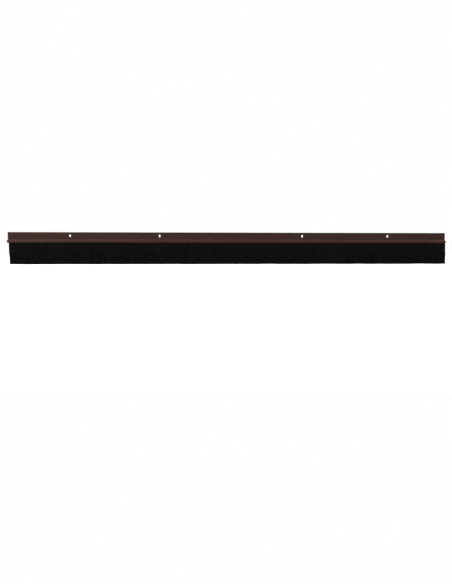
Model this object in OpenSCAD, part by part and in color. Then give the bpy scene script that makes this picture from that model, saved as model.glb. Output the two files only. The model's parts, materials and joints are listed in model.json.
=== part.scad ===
// Brush-type door sweep: a strip brush slid into an aluminium carrier that screws to the foot of a door.
// X runs along the sweep, the front faces -Y and Z is up. The back face, which lies on the door, is at
// Y = 0. The origin is at mid-length on that face, at the height of the screw slots.

/* [Carrier] */
// Length of the aluminium carrier
carrier_len = 1000; // [900:10:1200]
// Height of the flange above the channel
flange_h = 17.8; // [14:0.2:30]
// Thickness of the flange and of the channel's walls
wall_t = 1; // [1:0.1:1.6]
// Radius of the hollow shoulder where the flange runs out into the top of the channel
shoulder_r = 2.2; // [0.5:0.1:3]
// Radius along the top of the channel's front
nose_top_r = 2; // [1.2:0.1:3.5]
// Radius along the foot of the channel's front
nose_foot_r = 1.2; // [0.6:0.1:1.4]
// Radius that eases the carrier's other long edges
edge_r = 0.35; // [0.1:0.05:0.45]

/* [Screw slots] */
// Width of each upright slot
slot_w = 4; // [3:0.1:5]
// End-to-end length of each upright slot
slot_len = 6; // [5.5:0.1:9]
// Distance from the flange's top edge down to the slots' centres
slot_drop = 8; // [5:0.2:10]
// Distance from each end of the carrier to the nearer slot's centre
slot_end_gap = 137; // [40:1:160]
// Distance between the two slots in each half of the carrier
slot_pair_gap = 200; // [100:1:260]

/* [Strip brush] */
// Width of the folded steel backing
backing_w = 5; // [4:0.1:6]
// Height of the folded steel backing
backing_h = 3.8; // [3.4:0.1:6]
// Thickness of the backing's steel strip
backing_t = 0.8; // [0.5:0.1:0.9]
// Diameter of the core wire that the filaments are folded round
wire_d = 1.2; // [0.8:0.1:1.6]
// Length of the filaments below the carrier
bristle_len = 48; // [20:0.2:100]
// Thickness of the filament curtain at its tips
bristle_tip_t = 5; // [3.6:0.1:9]
// Distance from the carrier's left end to the brush
inset_left = 3.1; // [0:0.1:10]
// Distance from the carrier's right end to the brush
inset_right = 0; // [0:0.1:10]

/* [Fits] */
// Clearance all round between the backing and the channel
slide_gap = 0.2; // [0.1:0.05:0.4]
// Clearance between the filaments and each lip of the channel
throat_gap = 0.2; // [0.1:0.05:0.3]
// Depth below the carrier of the line that the filaments flex about
flex_drop = 6; // [5:0.5:12]
// Clearance between neighbouring sections of the filament curtain, and above it
section_gap = 0.3; // [0.2:0.1:1]

/* [Hidden] */
$fn = 64;
// The filament curtain flexes in this many lengths, one node for each
section_count = 5;
// Overshoot of each cutting solid past the face that it opens
over = 1;

// The hollow of the channel takes the backing with its clearance
hollow_w = backing_w + 2 * slide_gap;
hollow_h = backing_h + 2 * slide_gap;
hollow_r = backing_w / 2;
channel_d = hollow_w + 2 * wall_t;
channel_h = hollow_h + 2 * wall_t;

// Heights, measured from the centres of the slots
flange_top = slot_drop;
channel_top = flange_top - flange_h;
channel_foot = channel_top - channel_h;
backing_top = channel_top - wall_t - slide_gap;
backing_foot = backing_top - backing_h;
flex_z = channel_foot - flex_drop;
tip_z = channel_foot - bristle_len;

// The brush stands on the middle of the channel's hollow
brush_y = -wall_t - hollow_w / 2;
bundle_t = backing_w - 2 * backing_t;
throat_w = bundle_t + 2 * throat_gap;
wire_z = backing_top - backing_w / 2;
root_foot = flex_z + bundle_t / 2 + section_gap;

// Lengthwise places of the slots and of the brush
slot_outer_x = carrier_len / 2 - slot_end_gap;
slot_inner_x = slot_outer_x - slot_pair_gap;
brush_left = -carrier_len / 2 + inset_left;
brush_right = carrier_len / 2 - inset_right;
brush_len = brush_right - brush_left;
section_len = (brush_len - (section_count - 1) * section_gap) / section_count;

aluminium_brown = [0.25, 0.18, 0.15];
zinc_grey = [0.66, 0.68, 0.70];
wire_grey = [0.52, 0.53, 0.55];
filament_black = [0.07, 0.07, 0.07];

// Runs an outline, drawn with Y across and Z up, along the sweep from start
module run_along(start, length)
    translate([start, 0, 0])
        rotate([90, 0, 90])
            linear_extrude(height = length)
                children();

// The web between two edges that meet at the origin and an arc that is tangent to both.
// Added to an inside corner it makes a fillet, and taken from an outside corner it rounds the corner.
module corner_web(r)
    difference() {
        square(r);
        translate([r, r])
            circle(r);
    }

// A strip with a half-round top, its round centred on the origin, cut off flat at a depth below the origin
module arched(width, depth)
    intersection() {
        union() {
            circle(d = width);
            translate([-width / 2, -depth])
                square([width, depth]);
        }
        translate([-width, -depth])
            square([2 * width, depth + width]);
    }

// The hollow that the backing slides in, and the throat that the filaments hang through
module channel_hollow() {
    translate([brush_y, channel_top - wall_t])
        difference() {
            translate([-hollow_w / 2, -hollow_h])
                square([hollow_w, hollow_h]);
            for (side = [0, 1])
                mirror([side, 0])
                    translate([-hollow_w / 2, 0])
                        mirror([0, 1])
                            corner_web(hollow_r);
        }
    translate([brush_y - throat_w / 2, channel_foot - over])
        square([throat_w, wall_t + 2 * over]);
}

// The rounds on the outside of the carrier
module outer_rounds() {
    translate([-channel_d, channel_top])
        mirror([0, 1])
            corner_web(nose_top_r);
    translate([-channel_d, channel_foot])
        corner_web(nose_foot_r);
    translate([0, channel_foot])
        mirror([1, 0])
            corner_web(edge_r);
    translate([0, flange_top])
        rotate(180)
            corner_web(edge_r);
    translate([-wall_t, flange_top])
        mirror([0, 1])
            corner_web(edge_r);
    for (side = [0, 1])
        translate([brush_y, channel_foot])
            mirror([side, 0])
                translate([throat_w / 2, 0])
                    corner_web(edge_r);
}

// Section of the extrusion: the back wall and flange in one sheet, with the channel in front of its foot
module carrier_outline()
    difference() {
        union() {
            translate([-wall_t, channel_foot])
                square([wall_t, channel_h + flange_h]);
            translate([-channel_d, channel_foot])
                square([channel_d, channel_h]);
            translate([-wall_t, channel_top])
                mirror([1, 0])
                    corner_web(shoulder_r);
        }
        outer_rounds();
        channel_hollow();
    }

// One upright slot through the flange
module slot_cut(x)
    translate([x, over, 0])
        rotate([90, 0, 0])
            linear_extrude(height = wall_t + 2 * over) {
                for (end = [-1, 1])
                    translate([0, end * (slot_len - slot_w) / 2])
                        circle(d = slot_w);
                square([slot_w, slot_len - slot_w], center = true);
            }

// Aluminium extrusion with four upright screw slots
module carrier_profile()
    color(aluminium_brown)
        difference() {
            run_along(-carrier_len / 2, carrier_len)
                carrier_outline();
            for (side = [-1, 1], x = [slot_inner_x, slot_outer_x])
                slot_cut(side * x);
        }

// Steel strip folded into an upside-down U that clamps the filaments
module brush_backing()
    color(zinc_grey)
        run_along(brush_left, brush_len)
            translate([brush_y, wire_z])
                difference() {
                    arched(backing_w, backing_h - backing_w / 2);
                    arched(bundle_t, backing_h);
                }

// Wire that every filament is folded round
module core_wire()
    color(wire_grey)
        run_along(brush_left, brush_len)
            translate([brush_y, wire_z])
                circle(d = wire_d);

// The clamped folds of the filaments and the short length below them that stays upright
module bristle_roots()
    color(filament_black)
        run_along(brush_left, brush_len)
            translate([brush_y, wire_z])
                difference() {
                    arched(bundle_t, wire_z - root_foot);
                    circle(d = wire_d);
                }

// One length of the filament curtain, with a round top centred on the line that it flexes about
module bristle_section(place)
    color(filament_black)
        run_along(brush_left + (place - 1) * (section_len + section_gap), section_len)
            translate([brush_y, flex_z]) {
                circle(d = bundle_t);
                polygon([
                    [-bundle_t / 2, 0],
                    [-bristle_tip_t / 2, tip_z - flex_z],
                    [bristle_tip_t / 2, tip_z - flex_z],
                    [bundle_t / 2, 0]
                ]);
            }

carrier_profile();
brush_backing();
core_wire();
bristle_roots();
bristle_section(1);  // bristle_section_1
bristle_section(2);  // bristle_section_2
bristle_section(3);  // bristle_section_3
bristle_section(4);  // bristle_section_4
bristle_section(5);  // bristle_section_5
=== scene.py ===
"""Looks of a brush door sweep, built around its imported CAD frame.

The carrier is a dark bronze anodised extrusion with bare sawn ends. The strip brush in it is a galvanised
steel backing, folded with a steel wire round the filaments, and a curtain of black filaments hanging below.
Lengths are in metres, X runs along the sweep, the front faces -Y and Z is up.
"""

import json
import math

import bpy
import numpy as np
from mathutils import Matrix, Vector


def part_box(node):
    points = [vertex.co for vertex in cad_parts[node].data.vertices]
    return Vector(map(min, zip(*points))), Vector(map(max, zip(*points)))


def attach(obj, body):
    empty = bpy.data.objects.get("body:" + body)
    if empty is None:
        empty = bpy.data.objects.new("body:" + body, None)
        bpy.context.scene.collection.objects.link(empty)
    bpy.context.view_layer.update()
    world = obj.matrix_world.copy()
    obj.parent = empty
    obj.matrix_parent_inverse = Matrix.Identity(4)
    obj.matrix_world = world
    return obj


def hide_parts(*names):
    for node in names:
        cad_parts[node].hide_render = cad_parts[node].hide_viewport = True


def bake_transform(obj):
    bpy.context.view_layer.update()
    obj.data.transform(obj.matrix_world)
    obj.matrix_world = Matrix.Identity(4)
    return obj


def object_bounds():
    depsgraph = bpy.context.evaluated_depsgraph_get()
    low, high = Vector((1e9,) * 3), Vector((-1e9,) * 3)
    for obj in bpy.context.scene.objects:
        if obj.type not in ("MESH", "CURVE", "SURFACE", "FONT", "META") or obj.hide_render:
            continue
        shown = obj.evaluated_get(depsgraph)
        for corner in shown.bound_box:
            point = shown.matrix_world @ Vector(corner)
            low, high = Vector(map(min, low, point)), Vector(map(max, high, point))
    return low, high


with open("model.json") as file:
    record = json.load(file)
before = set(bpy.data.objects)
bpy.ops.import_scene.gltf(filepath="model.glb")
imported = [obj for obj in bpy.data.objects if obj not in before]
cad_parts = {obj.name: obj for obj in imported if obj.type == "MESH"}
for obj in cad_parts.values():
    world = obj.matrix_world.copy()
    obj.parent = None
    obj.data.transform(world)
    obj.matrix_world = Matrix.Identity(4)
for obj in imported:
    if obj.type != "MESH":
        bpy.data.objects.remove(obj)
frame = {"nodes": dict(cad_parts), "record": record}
cad_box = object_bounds()
MM = 0.001
rng = np.random.default_rng(20)

# ---------------------------------------------------------------- places and sizes, read from the frame
carrier_low, carrier_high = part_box("carrier_profile")
backing_low, backing_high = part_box("brush_backing")
roots_low, roots_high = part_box("bristle_roots")
wire_low, wire_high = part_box("core_wire")
SECTIONS = sorted(name for name in frame["nodes"] if name.startswith("bristle_section"))
section_boxes = [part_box(name) for name in SECTIONS]
slots = [mount for mount in frame["record"]["mounts"] if mount["kind"] == "bolt_pattern"]

brush_left, brush_right = backing_low.x, backing_high.x
brush_y = (backing_low.y + backing_high.y) / 2
bundle_half = (roots_high.y - roots_low.y) / 2
wire_z = (wire_low.z + wire_high.z) / 2
wire_r = (wire_high.z - wire_low.z) / 2
tip_half = (section_boxes[0][1].y - section_boxes[0][0].y) / 2
tip_z = section_boxes[0][0].z

# ---------------------------------------------------------------- the filaments
# Layers from front to back, and filaments along each section in every layer
LAYERS = 10
COLUMNS = 520
# Distance from a filament's middle to the corners of its three-sided section, about 0.3 mm across
FILAMENT_R = 0.18 * MM
# The curtain starts a little inside the mouth of the backing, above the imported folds' foot
CURTAIN_TOP = backing_low.z + 0.6 * MM
FOLDS_FOOT = backing_low.z + 0.3 * MM
# Places of the rings of points down a filament, as shares of its length, closest where it bends
LEVELS = np.array([0.0, 0.07, 0.15, 0.24, 0.36, 0.66, 1.0])
# Inner filaments are thicker than outer ones by this share, so that no daylight shows through
INNER_SWELL = 0.3
# Filaments inside the curtain are packed, and stray only this share of what the outer ones do
INNER_STRAY = 0.25
# Random spread of the filaments: along the sweep at their roots and tips, and in depth at their tips
ROOT_SPREAD = 0.06 * MM
TIP_SPREAD_X = 0.25 * MM
TIP_SPREAD_Y = 0.2 * MM
# Neighbours gather into loose locks about this wide, which wander, lean together and draw in at their tips
LOCK_WIDTH = 6.5 * MM
LOCK_WANDER = 1.6 * MM
LOCK_WAVELENGTH = 23 * MM
LOCK_LEAN = 0.06 * MM
LOCK_DRAW = 0.008
LOCK_COUNT = 400
# Filaments leave the backing upright, and lean by this power of their fall
LEAN_POWER = 1.4
# How far the outermost filaments lean to the right at the left and the right end, the length along the sweep
# in which this fades, and the shares of their fall between which it sets in
END_LEAN = (1.2 * MM, 0.8 * MM)
END_REACH = 6 * MM
END_FALL = (0.3, 0.62)
# The trimmed foot waves along the sweep and varies from tip to tip. It hangs a little low on the whole, and
# stays within these limits of the CAD's foot.
TRIM_WAVE = 0.3 * MM
TRIM_WAVELENGTH = 71 * MM
TRIM_SPREAD = 0.12 * MM
TRIM_DROP = 0.15 * MM
TRIM_LIMITS = (-0.5 * MM, 0.4 * MM)
# Least and most of the slight waves down a filament: their number, their size along the sweep, and the share
# of that which they have in depth
WAVE_COUNTS = (0.5, 1.3)
WAVE_SIZES = (0.02 * MM, 0.2 * MM)
WAVE_DEPTH_SHARE = 0.6
# Packed folds stop this far inside the strip's ends, where single folds are drawn: their radius, their pitch
# with its random spread, and the number of columns and of layers
CORE_INSET = 1.2 * MM
HAIRPIN_R = 0.13 * MM
HAIRPIN_PITCH = 0.25 * MM
HAIRPIN_SPREAD = 0.03 * MM
HAIRPIN_COLUMNS = 6
HAIRPIN_LAYERS = 4


# ---------------------------------------------------------------- shader helpers
class Nodes:
    """A node tree under construction."""

    def __init__(self, tree):
        self.tree = tree
        self.tree.nodes.clear()

    def node(self, kind, settings=None, **inputs):
        """Adds a node. An input is named as in Blender, with _ for a space, or i0, i1... by its place."""
        made = self.tree.nodes.new(kind)
        for key, value in (settings or {}).items():
            setattr(made, key, value)
        for key, value in inputs.items():
            by_place = key[0] == "i" and key[1:].isdigit()
            self.feed(made.inputs[int(key[1:]) if by_place else key.replace("_", " ")], value)
        return made

    def feed(self, socket, value):
        if isinstance(value, bpy.types.NodeSocket):
            self.tree.links.new(value, socket)
        else:
            socket.default_value = value

    def math(self, operation, a, b=0.0):
        return self.node("ShaderNodeMath", {"operation": operation}, i0=a, i1=b).outputs[0]

    def remap(self, value, low, high, to_low, to_high):
        made = self.node("ShaderNodeMapRange", {"clamp": True}, Value=value)
        for key, number in zip(("From Min", "From Max", "To Min", "To Max"), (low, high, to_low, to_high)):
            self.feed(made.inputs[key], number)
        return made.outputs[0]

    def mix(self, share, first, second):
        made = self.node("ShaderNodeMix", {"data_type": "RGBA"})
        for key, value in (("Factor_Float", share), ("A_Color", first), ("B_Color", second)):
            self.feed(next(s for s in made.inputs if s.identifier == key), value)
        return next(s for s in made.outputs if s.identifier == "Result_Color")

    def axes(self, vector):
        """The x, y and z of a vector."""
        return self.node("ShaderNodeSeparateXYZ", Vector=vector).outputs

    def output(self, kind, shader):
        self.feed(self.node(kind).inputs["Surface"], shader.outputs[0])


class Material(Nodes):
    """A material whose patterns are fixed to the row frame, with one pattern cell per 1 / scale metres."""

    def __init__(self, name):
        self.material = bpy.data.materials.new(name)
        self.material.use_nodes = True
        super().__init__(self.material.node_tree)
        self.place = self.node("ShaderNodeTexCoord").outputs["Object"]

    def noise(self, x, y, z, detail=3.0, roughness=0.5):
        scaled = self.node("ShaderNodeMapping", Vector=self.place, Scale=(x, y, z)).outputs[0]
        made = self.node("ShaderNodeTexNoise", Vector=scaled, Scale=1.0, Detail=detail, Roughness=roughness)
        return made.outputs["Fac"]

    def attribute(self, name):
        return self.node("ShaderNodeAttribute", {"attribute_name": name}).outputs["Fac"]

    def bump(self, height, strength, distance):
        return self.node("ShaderNodeBump", Height=height, Strength=strength, Distance=distance).outputs[0]

    def principled(self, **inputs):
        self.output("ShaderNodeOutputMaterial", self.node("ShaderNodeBsdfPrincipled", **inputs))
        return self.material


def colour(r, g, b):
    return (r, g, b, 1.0)


# ---------------------------------------------------------------- materials
def slot_rim(m, width):
    """1 on the rim of every screw slot, falling to 0 at width away from it."""
    across, _, up = m.axes(m.place)
    half_width = slots[0]["dims"]["hole_r_mm"] * MM
    half_straight = slots[0]["dims"]["slot_length_mm"] * MM / 2 - half_width
    beyond = m.math("MAXIMUM", m.math("SUBTRACT", m.math("ABSOLUTE", up), half_straight), 0.0)
    nearest = 1.0
    for slot in slots:
        sideways = m.math("SUBTRACT", across, slot["pos_m"][0])
        squares = m.math("ADD", m.math("MULTIPLY", sideways, sideways), m.math("MULTIPLY", beyond, beyond))
        nearest = m.math("MINIMUM", m.math("SQRT", squares), nearest)
    return m.remap(nearest, half_width, half_width + width, 1.0, 0.0)


def bronze_aluminium():
    """Satin dark bronze anodising over die lines, rubbed at the top edge and slots, bare on the sawn ends."""
    m = Material("bronze_aluminium")
    die_lines = m.noise(1.5, 2600, 2600, detail=4.0, roughness=0.6)
    clouds = m.noise(9, 40, 40, detail=2.0)
    tone = m.math("ADD", m.remap(die_lines, 0.3, 0.7, 0.0, 0.5), m.remap(clouds, 0.3, 0.7, 0.0, 0.5))
    brown = m.mix(tone, colour(0.045, 0.018, 0.0115), colour(0.062, 0.030, 0.022))

    top_edge = m.remap(m.axes(m.place)[2], carrier_high.z - 0.45 * MM, carrier_high.z - 0.1 * MM, 0.0, 1.0)
    patches = m.remap(m.noise(60, 400, 400, detail=4.0), 0.45, 0.65, 0.0, 1.0)
    rubbed = m.math("MULTIPLY", m.math("MAXIMUM", top_edge, slot_rim(m, 0.35 * MM)), patches)
    worn = m.mix(m.math("MULTIPLY", rubbed, 0.55), brown, colour(0.24, 0.19, 0.165))

    from_middle = m.math("ABSOLUTE", m.axes(m.place)[0])
    sawn = m.math("GREATER_THAN", from_middle, carrier_high.x - 0.001 * MM)
    saw_marks = m.noise(200, 500, 5200, detail=2.0)
    bare = m.mix(saw_marks, colour(0.42, 0.41, 0.40), colour(0.62, 0.61, 0.60))
    return m.principled(
        Base_Color=m.mix(sawn, worn, bare),
        Metallic=m.remap(sawn, 0.0, 1.0, 0.45, 1.0),
        Specular_IOR_Level=0.3,
        Roughness=m.remap(die_lines, 0.25, 0.75, 0.36, 0.48),
        Normal=m.bump(die_lines, 0.12, 0.05 * MM),
    )


def galvanised_steel():
    """Zinc-coated strip, with the flat grains that the coating sets in."""
    m = Material("galvanised_steel")
    grains = m.node("ShaderNodeTexVoronoi", Vector=m.place, Scale=900.0).outputs["Color"]
    grain = m.node("ShaderNodeSeparateColor", Color=grains).outputs[0]
    rolled = m.noise(30, 1800, 1800, detail=3.0)
    tone = m.math("ADD", m.math("MULTIPLY", grain, 0.6), m.math("MULTIPLY", rolled, 0.4))
    return m.principled(
        Base_Color=m.mix(tone, colour(0.36, 0.38, 0.40), colour(0.60, 0.62, 0.63)),
        Metallic=0.95,
        Roughness=m.remap(tone, 0.2, 0.8, 0.3, 0.48),
        Normal=m.bump(rolled, 0.15, 0.03 * MM),
    )


def steel_wire():
    """Plain drawn wire, with marks along its length."""
    m = Material("steel_wire")
    drawn = m.noise(20, 6000, 6000, detail=2.0)
    return m.principled(
        Base_Color=m.mix(drawn, colour(0.26, 0.26, 0.27), colour(0.42, 0.42, 0.43)),
        Metallic=1.0,
        Roughness=m.remap(drawn, 0.3, 0.7, 0.28, 0.42),
    )


def black_filament():
    """Satin black nylon. Each filament has its own tone, and painted shade darkens them a little towards the
    tips.
    """
    m = Material("black_filament")
    tone = m.attribute("tone")
    base = m.mix(tone, colour(0.0018, 0.0018, 0.0019), colour(0.0064, 0.0062, 0.0062))
    return m.principled(
        # Painted shade: the base colour is mixed a little towards a darker one by the fall attribute, most at
        # the tips
        Base_Color=m.mix(m.math("MULTIPLY", m.attribute("fall"), 0.15), base, colour(0.003, 0.003, 0.003)),
        Roughness=m.remap(tone, 0.0, 1.0, 0.42, 0.58),
        Specular_IOR_Level=0.17,
    )


# ---------------------------------------------------------------- mesh helpers
def mesh_object(name, points, face_groups, material, attributes=None):
    """An object from an array of points and a list of face arrays, (faces, corners). The first is smooth."""
    mesh = bpy.data.meshes.new(name)
    mesh.vertices.add(len(points))
    mesh.vertices.foreach_set("co", np.asarray(points, np.float32).ravel())
    corners = np.concatenate([group.ravel() for group in face_groups]).astype(np.int32)
    counts = np.concatenate([np.full(len(group), group.shape[1]) for group in face_groups])
    starts = np.concatenate([[0], np.cumsum(counts)[:-1]]).astype(np.int32)
    mesh.loops.add(len(corners))
    mesh.loops.foreach_set("vertex_index", corners)
    mesh.polygons.add(len(counts))
    mesh.polygons.foreach_set("loop_start", starts)
    mesh.polygons.foreach_set("use_smooth", np.arange(len(counts)) < len(face_groups[0]))
    mesh.update(calc_edges=True)
    for key, values in (attributes or {}).items():
        layer = mesh.attributes.new(key, "FLOAT", "POINT")
        layer.data.foreach_set("value", np.asarray(values, np.float32).ravel())
    mesh.materials.append(material)
    made = bpy.data.objects.new(name, mesh)
    bpy.context.scene.collection.objects.link(made)
    return made


def prisms(paths, radius, turn, reference):
    """Closed three-sided prisms along paths (count, levels, 3), as points, side quads and end triangles.

    Each prism is turned by its own angle about its path. No path runs along the reference direction. The
    rings of points at both ends are doubled, so that the flat ends don't shade into the sides.
    """
    along = np.gradient(paths, axis=1)
    along /= np.linalg.norm(along, axis=2, keepdims=True)
    across = np.cross(along, np.array(reference))
    across /= np.linalg.norm(across, axis=2, keepdims=True)
    outward = np.cross(along, across)
    corners = []
    for corner in range(3):
        angle = (turn + corner * math.tau / 3)[:, None, None]
        corners.append(paths + radius * (np.cos(angle) * across + np.sin(angle) * outward))
    rings = np.stack(corners, axis=2)
    rings = np.concatenate([rings[:, :1], rings, rings[:, -1:]], axis=1)
    count, levels = rings.shape[:2]

    first = (np.arange(count) * levels * 3)[:, None, None]
    level = (np.arange(1, levels - 2) * 3)[None, :, None]
    corner = np.arange(3)[None, None, :]
    here = first + level + corner
    beside = first + level + (corner + 1) % 3
    quads = np.stack([here, beside, beside + 3, here + 3], axis=-1).reshape(-1, 4)
    start = first.reshape(-1)
    end = start + (levels - 1) * 3
    near_ends = np.stack([start + 2, start + 1, start], axis=-1)
    far_ends = np.stack([end, end + 1, end + 2], axis=-1)
    return rings.reshape(-1, 3), quads, np.concatenate([near_ends, far_ends])


def smooth_step(value, low, high):
    t = np.clip((value - low) / (high - low), 0.0, 1.0)
    return t * t * (3 - 2 * t)


def smooth_walk(x, wavelength, seed):
    """A gentle random curve of x, between -1 and 1, that repeats in no short length."""
    phases = np.random.default_rng(seed).uniform(0, math.tau, 4)
    waves = [np.sin(math.tau * x / (wavelength * k) + p) for k, p in zip((1.0, 1.618, 0.73, 2.9), phases)]
    return sum(waves) / 4


# ---------------------------------------------------------------- the filament curtain
def root_places(low_x, high_x):
    """Places along the sweep of one section's filaments, and their depths from -1 at the front to 1."""
    pitch = (high_x - low_x) / COLUMNS
    column, layer = np.meshgrid(np.arange(COLUMNS), np.arange(LAYERS), indexing="ij")
    stagger = 0.25 + 0.5 * (layer % 2)
    x = (low_x + (column + stagger) * pitch).ravel()
    x += rng.normal(0, ROOT_SPREAD, len(x))
    depth = ((layer + 0.5) / LAYERS * 2 - 1).ravel()
    return np.clip(x, brush_left + FILAMENT_R, brush_right - FILAMENT_R), depth


def lock_drift(root_x):
    """How far the tips drift along the sweep because neighbours gather into locks."""
    wandering = root_x + LOCK_WANDER * smooth_walk(root_x, LOCK_WAVELENGTH, seed=3)
    lock = np.floor(wandering / LOCK_WIDTH)
    in_lock = wandering - (lock + 0.5) * LOCK_WIDTH
    leans = np.random.default_rng(7).normal(0, LOCK_LEAN, LOCK_COUNT)
    return leans[(lock % LOCK_COUNT).astype(int)] - LOCK_DRAW * in_lock


def end_drift(root_x):
    """How far the tips drift along the sweep near its ends, where nothing holds them from outside."""
    on_left = root_x < (brush_left + brush_right) / 2
    from_end = np.minimum(root_x - brush_left, brush_right - root_x)
    return np.where(on_left, *END_LEAN) * np.exp(-from_end / END_REACH)


def hang(root_x, depth):
    """Paths of filaments from the backing's mouth down to the trimmed tips, (count, levels, 3)."""
    count = len(root_x)
    stray = INNER_STRAY + (1 - INNER_STRAY) * np.abs(depth)
    drift_x = lock_drift(root_x) + rng.normal(0, TIP_SPREAD_X, count) * stray
    # The curtain is clamped narrow, spreads towards its tips and is trimmed almost straight
    root_y = brush_y + depth * (bundle_half - FILAMENT_R)
    tip_y = brush_y + depth * (tip_half - FILAMENT_R) + rng.normal(0, TIP_SPREAD_Y, count)
    trim = TRIM_WAVE * smooth_walk(root_x, TRIM_WAVELENGTH, seed=11) + rng.normal(0, TRIM_SPREAD, count)
    end_z = tip_z + np.clip(trim - TRIM_DROP, *TRIM_LIMITS)

    fall = LEVELS[None, :]
    lean = fall**LEAN_POWER
    phase = rng.uniform(0, math.tau, (2, count, 1))
    rate = rng.uniform(*WAVE_COUNTS, (2, count, 1))
    size = rng.uniform(*WAVE_SIZES, (2, count, 1)) * np.sqrt(fall) * stray[:, None]
    waves = size * (np.sin(math.tau * rate * fall + phase) - np.sin(phase))
    paths = np.empty((count, len(LEVELS), 3))
    paths[:, :, 0] = root_x[:, None] + drift_x[:, None] * lean + waves[0]
    paths[:, :, 0] += end_drift(root_x)[:, None] * smooth_step(fall, *END_FALL)
    paths[:, :, 1] = root_y[:, None] + (tip_y - root_y)[:, None] * lean + waves[1] * WAVE_DEPTH_SHARE
    paths[:, :, 2] = CURTAIN_TOP + (end_z - CURTAIN_TOP)[:, None] * fall
    return paths


def curtain(place, material):
    """The filaments over one section's length, hanging from the backing's mouth down to the section's trimmed
    foot.
    """
    low, high = section_boxes[place]
    root_x, depth = root_places(low.x, high.x)
    paths = hang(root_x, depth)
    count = len(paths)
    radius = FILAMENT_R * (1 + INNER_SWELL * (1 - np.abs(depth)))[:, None, None]
    points, quads, ends = prisms(paths, radius, rng.uniform(0, math.tau, count), (0, 1, 0))
    falls = np.repeat(np.pad(LEVELS, 1, mode="edge"), 3)
    attributes = {
        "tone": np.repeat(rng.uniform(0, 1, count), len(falls)),
        "fall": np.tile(falls, count),
    }
    number = place + 1
    piece = mesh_object(f"filaments_{number}", points, [quads, ends], material, attributes)
    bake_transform(piece)
    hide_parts(SECTIONS[place])


# ---------------------------------------------------------------- the clamped folds of the filaments
def packed_core(inset, sides=48):
    """The tightly packed folds inside the backing, as a bar round the wire, arched on top and flat below."""
    turn = np.arange(sides) / sides * math.tau
    out_y, out_z = np.cos(turn), np.sin(turn)
    foot = wire_z - FOLDS_FOOT
    reach = np.full(sides, bundle_half)
    below = out_z < 0
    reach[below] = bundle_half / np.maximum(np.abs(out_y[below]), bundle_half / foot)
    reach[below] = np.minimum(reach[below], foot / np.maximum(np.abs(out_z[below]), 1e-6))
    rings = []
    for x in (brush_left + inset, brush_right - inset):
        for radius in (reach, np.full(sides, wire_r)):
            rings.append(np.stack([np.full(sides, x), brush_y + out_y * radius, wire_z + out_z * radius], -1))
    step = np.arange(sides)
    beyond = (step + 1) % sides

    def band(first, second):
        return np.stack([first * sides + step, first * sides + beyond,
                         second * sides + beyond, second * sides + step], axis=-1)

    return np.concatenate(rings), np.concatenate([band(0, 2), band(3, 1), band(1, 0), band(2, 3)])


def hairpins():
    """Single filaments folded round the wire at both ends of the strip, where the folds can be seen."""
    from_end = HAIRPIN_R + HAIRPIN_PITCH * np.arange(HAIRPIN_COLUMNS)
    columns = np.concatenate([brush_left + from_end, brush_right - from_end])
    margin = 1.3 * HAIRPIN_R
    loop_r = np.linspace(wire_r + margin, bundle_half - margin, HAIRPIN_LAYERS)
    x, radius = [grid.ravel() for grid in np.meshgrid(columns, loop_r, indexing="ij")]
    x = x + rng.normal(0, HAIRPIN_SPREAD, len(x))
    over_wire = np.linspace(math.pi, 0, 9)[None, :]
    y = np.concatenate([-radius[:, None], radius[:, None] * np.cos(over_wire), radius[:, None]], axis=1)
    z = np.concatenate([0 * x[:, None], radius[:, None] * np.sin(over_wire), 0 * x[:, None]], axis=1)
    paths = np.stack([np.repeat(x[:, None], y.shape[1], axis=1), brush_y + y, wire_z + z], axis=-1)
    paths[:, [0, -1], 2] = FOLDS_FOOT
    return prisms(paths, HAIRPIN_R, rng.uniform(0, math.tau, len(x)), (1, 0, 0))


def filament_folds(material):
    core_points, core_faces = packed_core(CORE_INSET)
    pin_points, pin_sides, pin_ends = hairpins()
    offset = len(core_points)
    points = np.concatenate([core_points, pin_points])
    faces = [pin_sides + offset, pin_ends + offset, core_faces]
    attributes = {"tone": rng.uniform(0.2, 0.8, len(points)), "fall": np.zeros(len(points))}
    piece = mesh_object("filament_folds", points, faces, material, attributes)
    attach(piece, "brush_strip")
    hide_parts("bristle_roots")


# ---------------------------------------------------------------- dressing the CAD nodes
def dress(node, material):
    node_materials = frame["nodes"][node].data.materials
    node_materials.clear()
    node_materials.append(material)


dress("carrier_profile", bronze_aluminium())
dress("brush_backing", galvanised_steel())
dress("core_wire", steel_wire())
filament_black = black_filament()
filament_folds(filament_black)
for place in range(len(SECTIONS)):
    curtain(place, filament_black)

# ---------------------------------------------------------------- stage, light and camera
# The camera's place from the sweep's middle: almost square on, a little to the left and a little below
CAMERA_PLACE = Vector((-0.023, -1.34, -0.0129))
# Where its line of sight meets the sweep, right of the middle. The picture is shifted to make up for this.
SIGHT_X = 0.062
# Shares of the picture's width that the sweep spans and stands right of the centre, and of the picture's
# height that it stands above the centre
SPAN_SHARE = 0.9626
RIGHT_SHARE = 0.0122
ABOVE_SHARE = 0.0749
FRAME_W, FRAME_H = 452, 584
# Height of the curtain's foot, as drawn in CAD, above the floor
FLOOR_GAP = 1 * MM
# Area lights, each with its place, what it aims at, its length and width, and its power in watts
LIGHTS = {
    "key": ((-1.1, -1.5, 0.9), (-0.3, 0, 0), (1.0, 0.6), 12),
    "top_left": ((-0.4, -0.5, 1.6), (0, 0, 0), (2.2, 0.3), 9),
    "top_right": ((1.1, -0.8, 1.4), (0.3, 0, 0), (1.4, 0.4), 10.5),
    "back": ((0.4, 1.6, 1.1), (0, 0, 0), (1.6, 0.6), 18),
}


def turned_to(place, aim):
    """Rotation that points a camera or lamp from one place to another."""
    return (Vector(aim) - Vector(place)).to_track_quat("-Z", "Y").to_euler()


def camera_only(nodes, seen, lit):
    """A shader that the camera sees as one thing and that lights the scene as another."""
    is_camera = nodes.node("ShaderNodeLightPath").outputs["Is Camera Ray"]
    return nodes.node("ShaderNodeMixShader", i0=is_camera, i1=lit.outputs[0], i2=seen.outputs[0])


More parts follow.
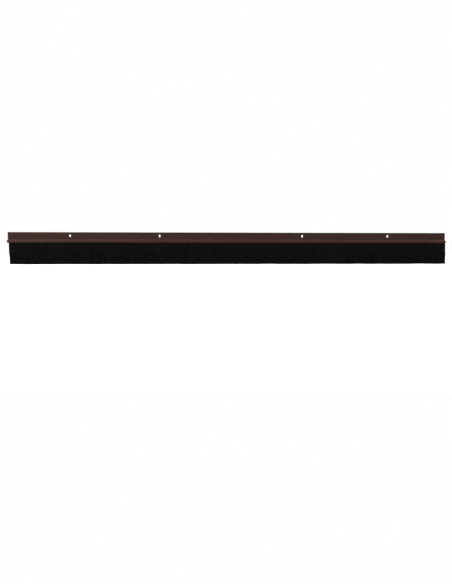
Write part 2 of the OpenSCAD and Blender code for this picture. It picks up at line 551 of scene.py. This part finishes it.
def add_floor(level):
    """Pale floor that burns out to white in the picture and throws back only part of its light."""
    m = Material("floor")
    pale = m.mix(m.noise(3, 3, 3), colour(0.84, 0.84, 0.84), colour(0.88, 0.88, 0.88))
    glow = {"Emission_Color": pale, "Emission_Strength": 1.25}
    seen = m.node("ShaderNodeBsdfPrincipled", Base_Color=pale, Roughness=0.9, **glow)
    lit = m.node("ShaderNodeBsdfPrincipled", Base_Color=colour(0.6, 0.6, 0.6), Roughness=0.9)
    m.output("ShaderNodeOutputMaterial", camera_only(m, seen, lit))
    bpy.ops.mesh.primitive_plane_add(size=24, location=(0, 0, level))
    floor = bpy.context.object
    floor.name = "floor"
    floor.data.materials.append(m.material)


def add_area(name, place, aim, size, power):
    data = bpy.data.lights.new(name, "AREA")
    data.shape = "RECTANGLE"
    data.size, data.size_y = size
    data.energy = power
    lamp = bpy.data.objects.new(name, data)
    lamp.location = place
    lamp.rotation_euler = turned_to(place, aim)
    bpy.context.scene.collection.objects.link(lamp)


def add_world():
    """White to the camera. Everything else is lit by a soft sky, brighter overhead than at the sides."""
    world = bpy.data.worlds.new("world")
    world.use_nodes = True
    bpy.context.scene.world = world
    n = Nodes(world.node_tree)
    up = n.axes(n.node("ShaderNodeTexCoord").outputs["Generated"])[2]
    sky = n.node("ShaderNodeBackground", Color=colour(1, 1, 1), Strength=n.remap(up, 0.0, 1.0, 0.2, 0.6))
    white = n.node("ShaderNodeBackground", Color=colour(1, 1, 1), Strength=1.0)
    n.output("ShaderNodeOutputWorld", camera_only(n, white, sky))


def add_camera():
    middle = (cad_box[0] + cad_box[1]) / 2
    length = cad_box[1].x - cad_box[0].x
    width_seen = length / SPAN_SHARE
    height_seen = width_seen * FRAME_H / FRAME_W
    data = bpy.data.cameras.new("camera")
    # The sensor's width is the picture's long side, which is its height
    data.sensor_width = 36
    data.lens = data.sensor_width * CAMERA_PLACE.length / height_seen
    data.shift_x = -(SIGHT_X + RIGHT_SHARE * width_seen) / height_seen
    camera = bpy.data.objects.new("camera", data)
    camera.location = middle + CAMERA_PLACE
    aim = middle + Vector((SIGHT_X, 0, -ABOVE_SHARE * height_seen))
    camera.rotation_euler = turned_to(camera.location, aim)
    bpy.context.scene.collection.objects.link(camera)
    bpy.context.scene.camera = camera


add_world()
add_floor(tip_z - FLOOR_GAP)
for name, settings in LIGHTS.items():
    add_area(name, *settings)
add_camera()
bpy.context.scene.view_settings.view_transform = "Standard"
